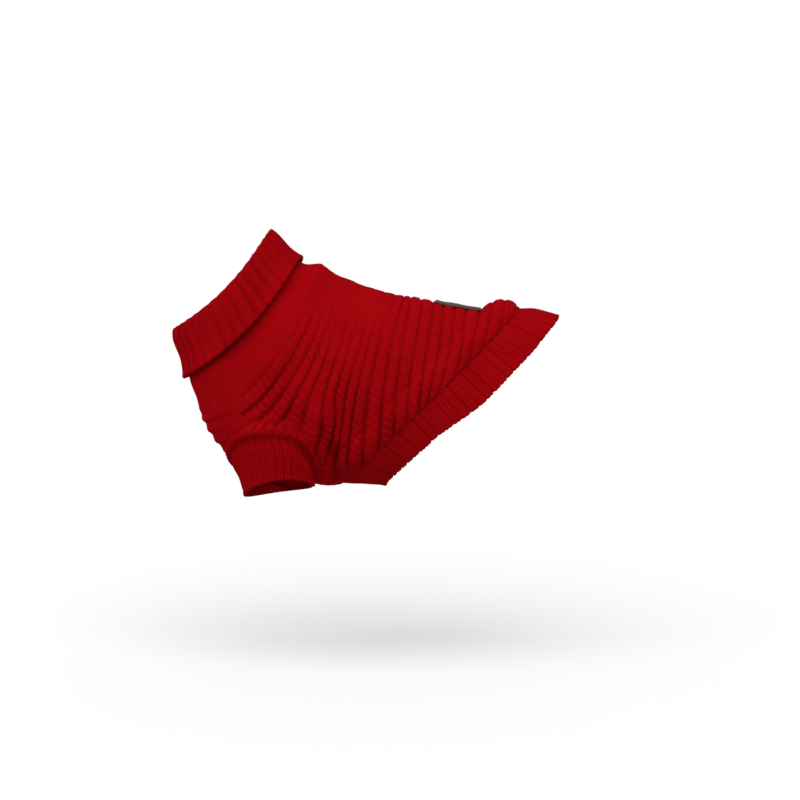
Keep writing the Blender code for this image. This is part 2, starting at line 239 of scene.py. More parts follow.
def unit(vectors):
    return vectors / np.linalg.norm(vectors, axis=-1, keepdims=True)


def ease(value):
    """0 below 0, 1 above 1, and a smooth rise between."""
    value = np.clip(value, 0.0, 1.0)
    return value * value * (3.0 - 2.0 * value)


def through_rows(table, places, at):
    """Rows of a table at any place, on a smooth curve through it."""
    low = np.clip(np.searchsorted(places[1:], at), 0, len(places) - 2)
    before, after = np.maximum(low - 1, 0), np.minimum(low + 2, len(places) - 1)
    span = (places[low + 1] - places[low])[..., None]
    s = (at - places[low])[..., None] / span
    first, last = table[low], table[low + 1]
    slope_first = (last - table[before]) / (places[low + 1] - places[before])[..., None] * span
    slope_last = (table[after] - first) / (places[after] - places[low])[..., None] * span
    return (first * (2 * s ** 3 - 3 * s ** 2 + 1) + slope_first * (s ** 3 - 2 * s ** 2 + s)
            + last * (3 * s ** 2 - 2 * s ** 3) + slope_last * (s ** 3 - s ** 2))


def section_at(ridge):
    """The body section at each ridge."""
    return through_rows(BODY_SECTIONS, BODY_SECTIONS[:, 0], ridge)


def side_view_point(x, z):
    """A point of the middle plane, from millimetres."""
    return np.stack((x, np.zeros_like(x), z), axis=-1) * MM


def ring_points(back, belly, half_width, bow, fullness, angle):
    """Points of slanted oval rings, turning from the back (0) over +Y to the belly (pi)."""
    middle, reach = (back + belly) / 2, (back - belly) / 2
    tailward = unit(np.stack((reach[..., 2], 0 * reach[..., 0], -reach[..., 0]), axis=-1))
    sine, cosine = np.sin(angle), np.cos(angle)
    across = np.sign(sine) * np.abs(sine) ** np.where(cosine < 0, fullness, 1.0)
    points = middle + reach * cosine[..., None] + tailward * (bow * sine ** 2)[..., None]
    points[..., 1] += half_width * across
    return points


def form_points(ridge, angle):
    """Points of the body's form, without its puff and its slack."""
    row = section_at(ridge)
    back = side_view_point(row[..., 1], row[..., 2])
    belly = side_view_point(row[..., 3], row[..., 4])
    return ring_points(back, belly, row[..., 5] * MM, row[..., 6] * MM, row[..., 7], angle)


def outward(ridge, angle):
    """The way out of the body's form at each point."""
    along = form_points(ridge + RIDGE_STEP, angle) - form_points(ridge - RIDGE_STEP, angle)
    around = form_points(ridge, angle + ANGLE_STEP) - form_points(ridge, angle - ANGLE_STEP)
    return unit(np.cross(along, around))


def puff(points, angle):
    """How far the body stands out just before the hem seam gathers it."""
    share = np.clip((HEM_SEAM_DISTANCE - points @ HEM_DIRECTION) / PUFF_LENGTH, 0.0, 1.0)
    side = PUFF_SIDE_SHARE + (1.0 - PUFF_SIDE_SHARE) * np.maximum(0.0, np.cos(angle)) ** 2
    return PUFF_HEIGHT * side * np.sin(math.pi * share) ** PUFF_FLATNESS


def slack(points):
    """How far the cloth stands out or sinks in where it lies loose: soft waves and creases."""
    x, y, z = (points[..., i] / MM for i in range(3))
    waves = (np.sin(x / 6.5 + y / 9.0 + 0.4) * np.sin(z / 7.4 - y / 11.0)
             + 0.8 * np.sin((x + z) / 4.6 + y / 13.0) * np.sin((x - z) / 8.2 + 1.3))
    height = SLACK_HEIGHT * waves
    for side, creases in CREASES.items():
        share = ease((y * side - 8.0) / 24.0)
        for start_x, start_z, end_x, end_z, half_width, depth in creases:
            run_x, run_z = end_x - start_x, end_z - start_z
            length = math.hypot(run_x, run_z)
            along = ((x - start_x) * run_x + (z - start_z) * run_z) / length ** 2
            bend = CREASE_BEND * length * np.sin(math.pi * np.clip(along, 0.0, 1.0))
            across = ((x - start_x) * run_z - (z - start_z) * run_x) / length + bend
            past = (along - np.clip(along, 0.0, 1.0)) * length
            ends = ease(along / 0.3) * ease((1.0 - along) / 0.3) * 0.6 + 0.4
            away = np.sqrt(across ** 2 + past ** 2) / half_width
            height = height - share * depth * ends * np.exp(-away ** 2)
    return height * MM


def crease_shade(points):
    """Painted shade down in a crease: how much darker the cloth is there, on the scale of a
    groove's depth.
    """
    return 0.35 * np.minimum(slack(points) / MM + 0.5, 0.0)


def body_points(ridge, angle, lift):
    """Points of the body's outer face, with the puff and the slack, moved out by lift."""
    points = form_points(ridge, angle)
    loose = puff(points, angle) + slack(points)
    return points + outward(ridge, angle) * (loose + lift)[..., None]


def ridge_at_cut(angle, distance):
    """The ridge where the form meets the plane at each distance along the hem direction."""
    low, high = np.zeros_like(angle), np.full_like(angle, BODY_SECTIONS[-1, 0])
    for _ in range(CUT_HALVINGS):
        middle = (low + high) / 2
        short = form_points(middle, angle) @ HEM_DIRECTION < distance
        low, high = np.where(short, middle, low), np.where(short, high, middle)
    return (low + high) / 2


def spaced_angles(ridge, first, last, columns):
    """Angles that space columns evenly round each ring, and how far round they are."""
    share = np.linspace(0.0, 1.0, 201)
    angle = first[:, None] + (last - first)[:, None] * share
    points = form_points(np.broadcast_to(ridge[:, None], angle.shape), angle)
    steps = np.linalg.norm(np.diff(points, axis=1), axis=2)
    length = np.concatenate((np.zeros((len(ridge), 1)), np.cumsum(steps, axis=1)), axis=1)
    even = np.linspace(0.0, 1.0, columns + 1)
    spaced = np.array([np.interp(even * reach[-1], reach, turn)
                       for reach, turn in zip(length, angle)])
    return spaced, (even - 0.5) * length[:, -1:]


# ---- making a piece ----

def link(data, name):
    """An object of this mesh, light or camera, put in the scene."""
    made = bpy.data.objects.new(name, data)
    bpy.context.scene.collection.objects.link(made)
    return made


def cloth_grid(outer, inner, relief, inner_relief, across, along):
    """A grid of faces through the outer points, each with its step to the inner face."""
    work = bmesh.new()
    uv = work.loops.layers.uv.new("UVMap")
    height = work.verts.layers.float.new("relief")
    inner_height = work.verts.layers.float.new("inner relief")
    inward = work.verts.layers.float_vector.new("inward")
    bmesh.ops.create_grid(
        work, x_segments=outer.shape[1] - 1, y_segments=outer.shape[0] - 1, size=1.0)
    work.verts.ensure_lookup_table()
    work.verts.index_update()
    values = zip(work.verts, outer.reshape(-1, 3), (inner - outer).reshape(-1, 3),
                 relief.reshape(-1), inner_relief.reshape(-1))
    for vertex, point, step, high, inner_high in values:
        vertex.co = point
        vertex[inward] = step
        vertex[height] = high
        vertex[inner_height] = inner_high
    flat = np.stack((across, along), axis=-1).reshape(-1, 2)
    for face in work.faces:
        face.smooth = True
        for loop in face.loops:
            loop[uv].uv = flat[loop.vert.index]
    work.normal_update()
    if sum(v.normal.dot(v[inward]) for v in work.verts) > 0:
        bmesh.ops.reverse_faces(work, faces=work.faces[:])
    return work


def cloth_wall(name, outer, inner, relief, across, along,
               wraps=False, hem_cut=None, inner_relief=None):
    """A piece of cloth between two faces, each given as rows by columns of points.

    relief is 0 on the ribs' tops and -1 deep in their valleys, and inner_relief is the same on
    the inner face. across and along are the place in the flat cloth, in metres. hem_cut is a
    distance along the hem direction, beyond which the piece is cut off.
    """
    if inner_relief is None:
        inner_relief = np.zeros(relief.shape)
    work = cloth_grid(outer, inner, relief, inner_relief, across, along)
    if wraps:
        bmesh.ops.remove_doubles(work, verts=work.verts[:], dist=1e-6)
    if hem_cut is not None:
        bmesh.ops.bisect_plane(
            work, geom=work.verts[:] + work.edges[:] + work.faces[:], dist=1e-7,
            plane_co=HEM_DIRECTION * hem_cut, plane_no=HEM_DIRECTION, clear_outer=True)
    height = work.verts.layers.float["relief"]
    inner_height = work.verts.layers.float["inner relief"]
    inward = work.verts.layers.float_vector["inward"]
    made = bmesh.ops.extrude_face_region(work, geom=work.faces[:], use_keep_orig=True)
    for vertex in made["geom"]:
        if isinstance(vertex, bmesh.types.BMVert):
            vertex.co += vertex[inward]
            vertex[height] = vertex[inner_height]
    bmesh.ops.recalc_face_normals(work, faces=work.faces[:])
    if work.calc_volume(signed=True) < 0:
        bmesh.ops.reverse_faces(work, faces=work.faces[:])
    work.verts.layers.float_vector.remove(inward)
    work.verts.layers.float.remove(work.verts.layers.float["inner relief"])
    mesh = bpy.data.meshes.new(name)
    work.to_mesh(mesh)
    work.free()
    return link(mesh, name)


def place_piece(piece, node, material):
    """Gives a piece its material, and its place on the frame."""
    piece.data.materials.clear()
    piece.data.materials.append(material)
    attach(piece, "root")
    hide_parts(node)


def grid_normals(points, wraps):
    """Normals of a grid of points, from its rows and columns."""
    if wraps:
        ring = points[:, :-1]
        around = np.roll(ring, -1, axis=1) - np.roll(ring, 1, axis=1)
        around = np.concatenate((around, around[:, :1]), axis=1)
    else:
        around = np.gradient(points, axis=1)
    return unit(np.cross(around, np.gradient(points, axis=0)))


def uneven(number, seed):
    """A fixed, uneven value from -1 to 1 for each whole number."""
    return np.sin(number * 12.9898 + seed * 78.233) * np.cos(number * 4.1414 + seed * 3.7)


def uneven_ribs(place, count, seed):
    """The same for each rib of a ring of count ribs, so that the ring's ends meet."""
    return uneven(np.floor(place + 1e-6) % count, seed)


# ---- the pieces ----

def armhole_clearance(points):
    """0 at the armholes and 1 away from them, where the knitting is flat for the cuff seam."""
    ring = CUFF_RINGS[1] * MM
    x = (points[..., 0] - (ring[0] + ring[1]) / 2) / ((ring[1] - ring[0]) / 2)
    y = (np.abs(points[..., 1]) - (ring[2] + ring[3]) / 2) / ((ring[2] - ring[3]) / 2)
    away = (np.sqrt(x ** 2 + y ** 2) - 1.0) * (ring[2] - ring[3])
    above = (points[..., 2] - ARMHOLE_TOP) / (7 * MM)
    return np.clip(ease(away / (5 * MM)) + ease(above), 0.0, 1.0)


def cable_wander(place, girth, settings):
    """How far the grooves stray from their rings, in ridges, as the ropes beside them swell."""
    swell = ROPE_SWELL * np.sin(math.pi * girth / settings.lobe_length) * np.cos(math.pi * place)
    drift = ROPE_DRIFT * np.sin(girth / (23 * MM) + 0.9 * place)
    return (swell + drift) * ease(place / 1.5)


def cable_relief(place, girth, angle, reach, points, settings):
    """Height of the cables: rounded ropes that run round the body, with deep grooves between.

    place counts ropes from the neck seam, and each whole number is a groove.
    """
    number = np.floor(place + 1e-6)
    side = place - number - 0.5
    twist = girth / settings.lobe_length + 0.37 * number + 0.1 * uneven(number, 1)
    strand = np.cos(2 * math.pi * (twist + STRAND_LEAN * side))
    edge = 0.5 - np.abs(side)
    width = settings.groove_share * (1.0 + 0.2 * uneven(number, 2) + 0.25 * strand)
    top = ease(edge / width)
    crown = 1.0 - ROPE_CROWN * (2 * np.abs(side)) ** 2
    turn = np.degrees(np.abs(angle))
    calm = ease((CALM_TURN - turn) / 50.0) * ease((CALM_ROPES - place) / 6.0)
    strength = (1.0 - CALM_SHARE * calm) * (0.8 + 0.55 * ease((turn - 65.0) / 55.0))
    strength = strength * ease((reach - np.abs(girth)) / (10 * MM))
    strength = strength * ease((place - 0.6) / 0.8) * armhole_clearance(points)
    patches = np.sin(girth / (31 * MM) + 1.7 * number) * np.sin(girth / (13 * MM) - number)
    depth = settings.groove_depth * (1.0 + 0.15 * uneven(number, 3) + 0.3 * patches)
    ropes = (STRAND_HEIGHT + 0.06 * patches) * strand * top
    bridges = BRIDGE_HEIGHT * (1.0 - top) * (0.5 + 0.5 * np.cos(2 * math.pi * (twist + 0.5)))
    return strength * depth * (top * crown - 1.0 + ropes + bridges)


def back_panel_places(settings):
    """Rope count, ridge, angle and girth of the back panel's grid. Its rows follow the grooves."""
    columns = 230
    place = (np.arange(ROPES)[:, None] + np.array(settings.rope_rows)).ravel()
    at_turns = through_rows(CABLE_RIDGES[:, 1:], CABLE_RIDGES[:, 0], place)
    edge = at_turns[:, -1]
    for _ in range(4):
        row = section_at(edge)
        seam = np.radians(row[:, 8]) - SEAM_GAP / 2 / (row[:, 5] * MM)
        angle, girth = spaced_angles(at_turns[:, 2], -seam, seam, columns)
        ridge = np.array([
            through_rows(values[:, None], CABLE_TURNS, np.abs(turns))[:, 0]
            for values, turns in zip(at_turns, angle)])
        edge = ridge[:, -1]
    places = np.broadcast_to(place[:, None], angle.shape)
    ridge = ridge - cable_wander(places, girth, settings)
    ridge[0] = -NECK_LAP
    return places, ridge, angle, girth


def back_panel_piece(settings):
    """The back panel: cables over the back and down both sides."""
    places, ridge, angle, girth = back_panel_places(settings)
    points = form_points(ridge, angle)
    relief = cable_relief(places, girth, angle, girth[:, -1:], points, settings)
    relief[0] -= TUCK
    outer = body_points(ridge, angle, relief)
    inner = body_points(ridge, angle, -settings.body_wall + 0.4 * relief)
    # Painted shade: darker down in the grooves between the cables and in the creases
    shade = relief / settings.groove_depth + crease_shade(points)
    return cloth_wall("back_panel_knit", outer, inner, shade,
                      places * ROPE_PITCH, girth + 0.3, hem_cut=HEM_SEAM_DISTANCE - SEAM_GAP / 2)


def belly_panel_piece(settings):
    """The chest and belly panel: faint ribs, with loose rolls across the chest."""
    columns, rows_per_ridge = ((110, 16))
    ridge = np.linspace(-NECK_LAP, BELLY_END, int(BELLY_END * rows_per_ridge) + 1)
    row = section_at(ridge)
    seam = np.radians(row[:, 8]) - SIDE_LAP / (row[:, 5] * MM)
    angle, girth = spaced_angles(ridge, seam, 2 * math.pi - seam, columns)
    ridges = np.broadcast_to(ridge[:, None], angle.shape)
    reach = girth[:, -1:]
    points = form_points(ridges, angle)
    middle = points[:, columns // 2]
    run = np.concatenate(((0.0,), np.cumsum(np.linalg.norm(np.diff(middle, axis=0), axis=1))))
    along = np.broadcast_to(run[:, None], angle.shape)
    ribs = np.cos(2 * math.pi * along / settings.chest_rib)
    fade = ease((reach - np.abs(girth)) / (8 * MM)) * armhole_clearance(points)
    relief = CHEST_RIB_DEPTH * (ribs - 1.0) * fade * ease(along / (30 * MM))
    stray = 1.2 * np.sin(along / (17 * MM))
    lumps = CHEST_LUMP * np.sin(2 * math.pi * along / CHEST_LUMP_PITCH + stray)
    relief = relief + lumps * fade * ease((along - 10 * MM) / (15 * MM)) * ease(
        (120 * MM - along) / (30 * MM)) * np.exp(-(girth / CHEST_LUMP_REACH) ** 2)
    lapped = (ridges < 0.01) | (reach - np.abs(girth) < SIDE_LAP + 0.1 * MM)
    outer = body_points(ridges, angle, relief - np.where(lapped, TUCK, 0.0))
    inner = body_points(ridges, angle, np.full_like(relief, -settings.body_wall))
    # Painted shade: darker in the hollows between the chest's rolls and ribs, and in the creases
    shade = 0.6 * relief / MM + crease_shade(points)
    return cloth_wall("belly_panel_knit", outer, inner, shade, along, girth + 0.2,
                      hem_cut=HEM_SEAM_DISTANCE - SEAM_GAP / 2)


def leg_ring_points(table, angle, inset=0.0):
    """Points of the cuff's rings at their angles from the front: rows by columns."""
    row = table[..., None, :] * MM
    back, out = -np.cos(angle), np.sin(angle)
    front_x, rear_x, out_y, in_y, front_z, rear_z, out_z, in_z = (
        row[..., i] for i in range(8))
    x = (front_x + rear_x) / 2 + ((rear_x - front_x) / 2 - inset) * back
    y = (out_y + in_y) / 2 + ((out_y - in_y) / 2 - inset) * out
    z = ((front_z + rear_z + out_z + in_z) / 4 + (rear_z - front_z) / 2 * back
         + (out_z - in_z) / 2 * out + (front_z + rear_z - out_z - in_z) / 4 * np.cos(2 * angle))
    return np.stack((x, y, z), axis=-1)


def leg_cutters(settings):
    """The hollows of the two cuffs, as closed shapes that open the armholes."""
    made = []
    for side in (-1.0, 1.0):
        angle = np.linspace(0.0, 2 * math.pi, CUTTER_SIDES + 1)
        points = leg_ring_points(CUFF_RINGS, angle, settings.rib_wall) * (1.0, side, 1.0)
        work = bmesh.new()
        bmesh.ops.create_grid(
            work, x_segments=CUTTER_SIDES, y_segments=len(CUFF_RINGS) - 1, size=1.0)
        for vertex, point in zip(work.verts, points.reshape(-1, 3)):
            vertex.co = point
        bmesh.ops.remove_doubles(work, verts=work.verts[:], dist=1e-6)
        bmesh.ops.holes_fill(work, edges=[e for e in work.edges if e.is_boundary], sides=0)
        bmesh.ops.recalc_face_normals(work, faces=work.faces[:])
        mesh = bpy.data.meshes.new("leg_hollow")
        work.to_mesh(mesh)
        work.free()
        made.append(link(mesh, "leg_hollow"))
    return made


def open_armholes(piece, settings):
    """Cuts the hollows of the cuffs out of a panel."""
    cutters = leg_cutters(settings)
    for cutter in cutters:
        cut = piece.modifiers.new("Armhole", "BOOLEAN")
        cut.operation = "DIFFERENCE"
        cut.solver = "EXACT"
        cut.object = cutter
    graph = bpy.context.evaluated_depsgraph_get()
    cut_mesh = bpy.data.meshes.new_from_object(
        piece.evaluated_get(graph), preserve_all_data_layers=True, depsgraph=graph)
    plain = piece.data
    piece.modifiers.clear()
    piece.data = cut_mesh
    cut_mesh.name = plain.name
    bpy.data.meshes.remove(plain)
    for cutter in cutters:
        mesh = cutter.data
        bpy.data.objects.remove(cutter)
        bpy.data.meshes.remove(mesh)


def rib_wave(place, valley):
    """Height of ribs, one to each whole number: broad tops and narrow valleys."""
    return np.abs(np.sin(math.pi * place)) ** valley - 1.0


def band_wider(angle):
    """How much wider the hem band is at each angle."""
    turn = np.degrees(np.abs((angle + math.pi) % (2 * math.pi) - math.pi))
    low = np.clip(np.searchsorted(HEM_WAVES[1:, 0], turn), 0, len(HEM_WAVES) - 2)
    first, last = HEM_WAVES[low], HEM_WAVES[low + 1]
    share = (turn - first[..., 0]) / (last[..., 0] - first[..., 0])
    eased = (1 - np.cos(math.pi * share)) / 2
    return (first[..., 1] + (last[..., 1] - first[..., 1]) * eased) * MM


def band_distance(angle, along):
    """How far along the hem direction each share of the hem band's width lies."""
    return HEM_SEAM_DISTANCE - HEM_LAP + (HEM_BAND_WIDTH + HEM_LAP + band_wider(angle)) * along


def band_ridge(angle, along):
    """The ridge under the hem band at each share of its width."""
    return ridge_at_cut(angle, band_distance(angle, along))


def hem_band_piece(settings):
    """The hem band: paired ribs of uneven depth, square to the seam."""
    per_rib, rows = ((7, 18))
    ribs = settings.hem_ribs
    columns = ribs * per_rib
    turn = np.linspace(-math.pi, math.pi, 721)
    seam = form_points(ridge_at_cut(turn, np.full_like(turn, HEM_SEAM_DISTANCE)), turn)
    length = np.concatenate(((0.0,), np.cumsum(np.linalg.norm(np.diff(seam, axis=0), axis=1))))
    share = np.linspace(0.0, 1.0, columns + 1)
    angle = np.interp(share * length[-1], length, turn)
    number = share * ribs
    profile = (0.45 + 0.2 * uneven_ribs(number, ribs, 4)) * rib_wave(number, 1.6)
    profile = profile + (0.45 + 0.3 * uneven_ribs(number / 2, ribs / 2, 5)) * (
        rib_wave(number / 2 + 0.5, 1.5))
    point = None
    faces = [[], []]
    heights, places = [], []
    for step in range(rows + 1):
        along = step / rows
        scallop = 0.03 * (profile + 0.8) * ease((along - 0.5) / 0.5)
        # Each rib runs straight on from the row before, square to the seam
        for _ in range(0 if point is None else 3):
            here = form_points(band_ridge(angle, along + scallop), angle)
            turned = angle + ANGLE_STEP
            ahead = form_points(band_ridge(turned, along + scallop), turned)
            tangent = (ahead - here) / ANGLE_STEP
            angle = angle - ((here - point) * tangent).sum(1) / (tangent ** 2).sum(1)
        ridge = band_ridge(angle, along + scallop)
        point = form_points(ridge, angle)
        arch = HEM_ARCH * math.sin(math.pi * along) * np.maximum(0.0, np.cos(angle)) ** 2
        lift = HEM_BAND_FLARE * along ** 2 - HEM_BAND_INSET + arch
        lift = lift - (HEM_TUCK if step == 0 else 0.0)
        edges = ease(along / 0.12) * 0.7 + 0.3
        roll = HEM_ROLL * ease((along - 0.86) / 0.1)
        relief = settings.rib_depth * profile * edges
        faces[0].append(body_points(ridge, angle, lift + roll + relief))
        faces[1].append(body_points(ridge, angle, lift - settings.rib_wall + 0.5 * relief))
        # Painted shade: darker down in the rib valleys, and darker still along the seam under the
        # panels' puff
        heights.append(0.6 * profile * edges - 0.6 * ease(1 - along / 0.1))
        places.append(np.full_like(angle, along * HEM_BAND_WIDTH))
    across = np.broadcast_to(share * ribs * 2 * RIB_STITCH[0] * MM, (rows + 1, columns + 1))
    return cloth_wall("hem_band_knit", np.array(faces[0]), np.array(faces[1]),
                      np.array(heights), across, np.array(places), wraps=True)


def collar_rings(angle, settings):
    """The collar's middle line at each angle, from its seam over the fold to its free edge."""
    rings = [
        body_points(np.full_like(angle, ridge), angle, np.full_like(angle, lift * MM)
                    - settings.rib_wall / 2)
        for ridge, lift in ((0.3, -0.4), (0.0, 0.1))]
    for top_x, top_z, front_x, front_z, half_width, bow in COLLAR_RINGS:
        top = side_view_point(np.full_like(angle, top_x), np.full_like(angle, top_z))
        front = side_view_point(np.full_like(angle, front_x), np.full_like(angle, front_z))
        rings.append(ring_points(top, front, half_width * MM, bow * MM, COLLAR_FULLNESS, angle))
    return np.array(rings)


def collar_piece(settings):
    """The collar: fine ribs in lanes of three, turned down to a beaded edge."""
    per_rib, rows = ((6, 56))
    ribs = settings.collar_ribs
    share = np.linspace(0.0, 1.0, ribs * per_rib + 1)
    angle = (share * 2 - 1) * math.pi
    rings = collar_rings(angle, settings)
    steps = np.linalg.norm(np.diff(rings, axis=0), axis=2).mean(axis=1)
    run = np.concatenate(((0.0,), np.cumsum(steps)))
    at = np.linspace(0.0, run[-1], rows + 1)
    middle = through_rows(rings.reshape(len(rings), -1), run, at).reshape(rows + 1, -1, 3)
    beads = np.cos(math.pi * share * ribs) * (0.75 + 0.25 * np.sin(46 * math.pi * share))
    near_edge = ease((at - run[-1] + COLLAR_BEAD_LENGTH) / COLLAR_BEAD_LENGTH)[:, None]
    downward = unit(np.gradient(middle, axis=0))
    middle = middle + downward * (COLLAR_BEAD * beads * near_edge)[..., None]
    normal = grid_normals(middle, wraps=True)
    normal[0] = outward(np.full_like(angle, 0.3), angle)
    number = share * ribs
    lane = number / COLLAR_LANE
    profile = 0.35 * rib_wave(number, 0.9)
    profile = profile + (0.65 + 0.35 * uneven_ribs(lane, ribs / COLLAR_LANE, 6)) * (
        rib_wave(lane, 2.0))
    # Past the fold the cloth's inner face is the one that shows
    turned = ease((at - run[4] - 4 * MM) / (10 * MM))[:, None]
    from_edge = run[-1] - at
    flare = COLLAR_FLARE * ease(1 - from_edge / COLLAR_FLARE_LENGTH)[:, None]
    lip = np.exp(-((from_edge - COLLAR_LIP_LENGTH) / COLLAR_LIP_LENGTH) ** 2)[:, None]
    flare = flare + COLLAR_LIP * (1 + beads) * lip
    wander = 1.0 + 0.25 * np.sin(8 * math.pi * share + at[:, None] / (14 * MM))
    relief = settings.collar_depth * profile * wander
    outer = middle + normal * (settings.rib_wall / 2 + 0.1 * relief - 0.9 * flare)[..., None]
    inner = middle - normal * (settings.rib_wall / 2 + turned * relief + flare)[..., None]
    across = np.broadcast_to(share * COLLAR_WALES * RIB_STITCH[0] * MM, outer.shape[:2])
    along = np.broadcast_to(at[:, None], outer.shape[:2])
    # Painted shade down between the ribs, stronger on the face of the turned part
    return cloth_wall("collar_knit", outer, inner, 0.1 * profile * wander, across, along,
                      wraps=True, inner_relief=0.7 * profile * wander * turned)


def smooth_body():
    """The body's form round the legs, to find where a cuff meets it."""
    ridge, angle = np.meshgrid(np.linspace(1.0, 13.0, 70), np.linspace(0.0, 2 * math.pi, 181),
                               indexing="ij")
    points = body_points(ridge, angle, np.full_like(ridge, 0.5 * MM))
    wide = points.shape[1]
    faces = [(i * wide + j, (i + 1) * wide + j, (i + 1) * wide + j + 1, i * wide + j + 1)
             for i in range(points.shape[0] - 1) for j in range(wide - 1)]
    return BVHTree.FromPolygons(points.reshape(-1, 3).tolist(), faces)


def cuff_top(angle, side, stations):
    """Where each strand of the cuff starts, just inside the body's cloth, in stations."""
    fine = np.linspace(0.0, stations[-1], 61)
    strands = leg_ring_points(through_rows(CUFF_RINGS, stations, fine), angle) * (1, side, 1)
    body = smooth_body()
    top = np.zeros(len(angle))
    for j in range(len(angle) - 1):
        for i in range(len(fine) - 1, 0, -1):
            start, end = Vector(strands[i, j]), Vector(strands[i - 1, j])
            step = end - start
            hit = body.ray_cast(start, step.normalized(), step.length)
            if hit[0] is not None:
                top[j] = fine[i] - (fine[i] - fine[i - 1]) * hit[3] / step.length
                break
    nearest = int(round(top.mean() / fine[1]))
    step_length = np.linalg.norm(strands[nearest + 1] - strands[nearest], axis=-1)
    top = top - CUFF_LAP / step_length * fine[1]
    top[-1] = top[0]
    return top


def cuff_piece(name, side, settings):
    """A leg cuff: gathered at its top, rolled over, and ribbed down to its free end."""
    per_rib, rows = ((8, 34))
    ribs = settings.cuff_ribs
    columns = ribs * per_rib
    share = np.linspace(0.0, 1.0, columns + 1)
    angle = share * 2 * math.pi - math.pi / 2
    stations = np.arange(len(CUFF_RINGS), dtype=float)
    top = cuff_top(angle, side, stations)
    down = np.linspace(0.0, 1.0, rows + 1)[:, None]
    at = top + (stations[-1] - top) * down
    middle = np.array([
        leg_ring_points(through_rows(CUFF_RINGS, stations, at[:, j]), angle[j:j + 1])[:, 0]
        for j in range(columns + 1)]).transpose(1, 0, 2) * (1, side, 1)
    middle[:, -1] = middle[:, 0]
    normal = grid_normals(middle, wraps=True) * side
    run = np.concatenate((np.zeros((1, columns + 1)), np.cumsum(
        np.linalg.norm(np.diff(middle, axis=0), axis=2), axis=0)))
    number = share * ribs
    profile = (0.8 + 0.2 * uneven_ribs(number, ribs, 7)) * rib_wave(number, 1.6)
    profile = profile + 0.3 * rib_wave(number / 2 + 0.5, 1.0)
    facing_out, facing_front = 0.5 + 0.5 * np.sin(angle), np.cos(angle)
    roll_at = CUFF_LAP + (4.0 + 7.0 * ease(facing_out) + 8.0 * facing_front * facing_out) * MM
    begun = ease((run - roll_at + 1 * MM) / (4 * MM))
    relief = settings.rib_depth * profile * begun
    gathers = CUFF_GATHERS * rib_wave(number / 3, 1.0)
    gathers = gathers * (1.0 - begun) * ease((run - CUFF_LAP) / (3 * MM)) * facing_out
    roll = (CUFF_ROLL + CUFF_FRONT_ROLL * np.maximum(0.0, facing_front)) * np.exp(
        -((run - roll_at) / CUFF_ROLL_WIDTH) ** 2)
    waist = CUFF_WAIST * np.exp(-((run - roll_at - CUFF_WAIST_DROP) / CUFF_WAIST_WIDTH) ** 2)
    roll = roll - waist + CUFF_LIP * ease((run - run[-1] + 5 * MM) / (4 * MM))
    outer = middle + normal * (relief + gathers + roll)[..., None]
    inner = middle - normal * (settings.rib_wall + waist)[..., None]
    across = np.broadcast_to(share * CUFF_WALES * RIB_STITCH[0] * MM, outer.shape[:2])
    # Painted shade down between the ribs and the gathers, and below the roll where the cuff draws
    # in
    shade = 0.5 * profile * begun + gathers / CUFF_GATHERS - 0.25 * waist / MM
    return cloth_wall(name, outer, inner, shade, across, run, wraps=True)


def label_points(along, across, lift):
    """Points over the label's place, from along and across the flat label."""
    hem = ridge_at_cut(np.zeros(1), np.full(1, HEM_SEAM_DISTANCE))[0]
    first, last = (NECK_EDGE + (hem - NECK_EDGE) * share for share in LABEL_REACH)
    ridge = first + (last - first) * along / LABEL_LENGTH
    angle = (2 * across / LABEL_WIDTH - 1) * LABEL_HALF_ANGLE
    curled = LABEL_CURL * ease(1 - along / (9 * MM)) ** 2
    return body_points(ridge, angle, LABEL_CLEARANCE + curled + lift)


def label_piece(settings):
    """The label: a leather patch with rounded edges, pulled in along its stitches."""
    columns, rows = 40, 52
    along, across = np.meshgrid(np.linspace(0.0, LABEL_LENGTH, rows + 1),
                                np.linspace(0.0, LABEL_WIDTH, columns + 1), indexing="ij")
    edge = np.minimum(np.minimum(along, LABEL_LENGTH - along),
                      np.minimum(across, LABEL_WIDTH - across))
    round_off = 0.5 * MM * (1 - ease(edge / (1.6 * MM))) ** 2
    pulled = 0.3 * MM * np.exp(-((edge - STITCH_INSET) / (0.8 * MM)) ** 2)
    low = label_points(along, across, np.zeros_like(along))
    high = label_points(along, across, settings.label_wall - round_off - pulled)
    return cloth_wall("label_leather", high, low, edge / MM, across, along)


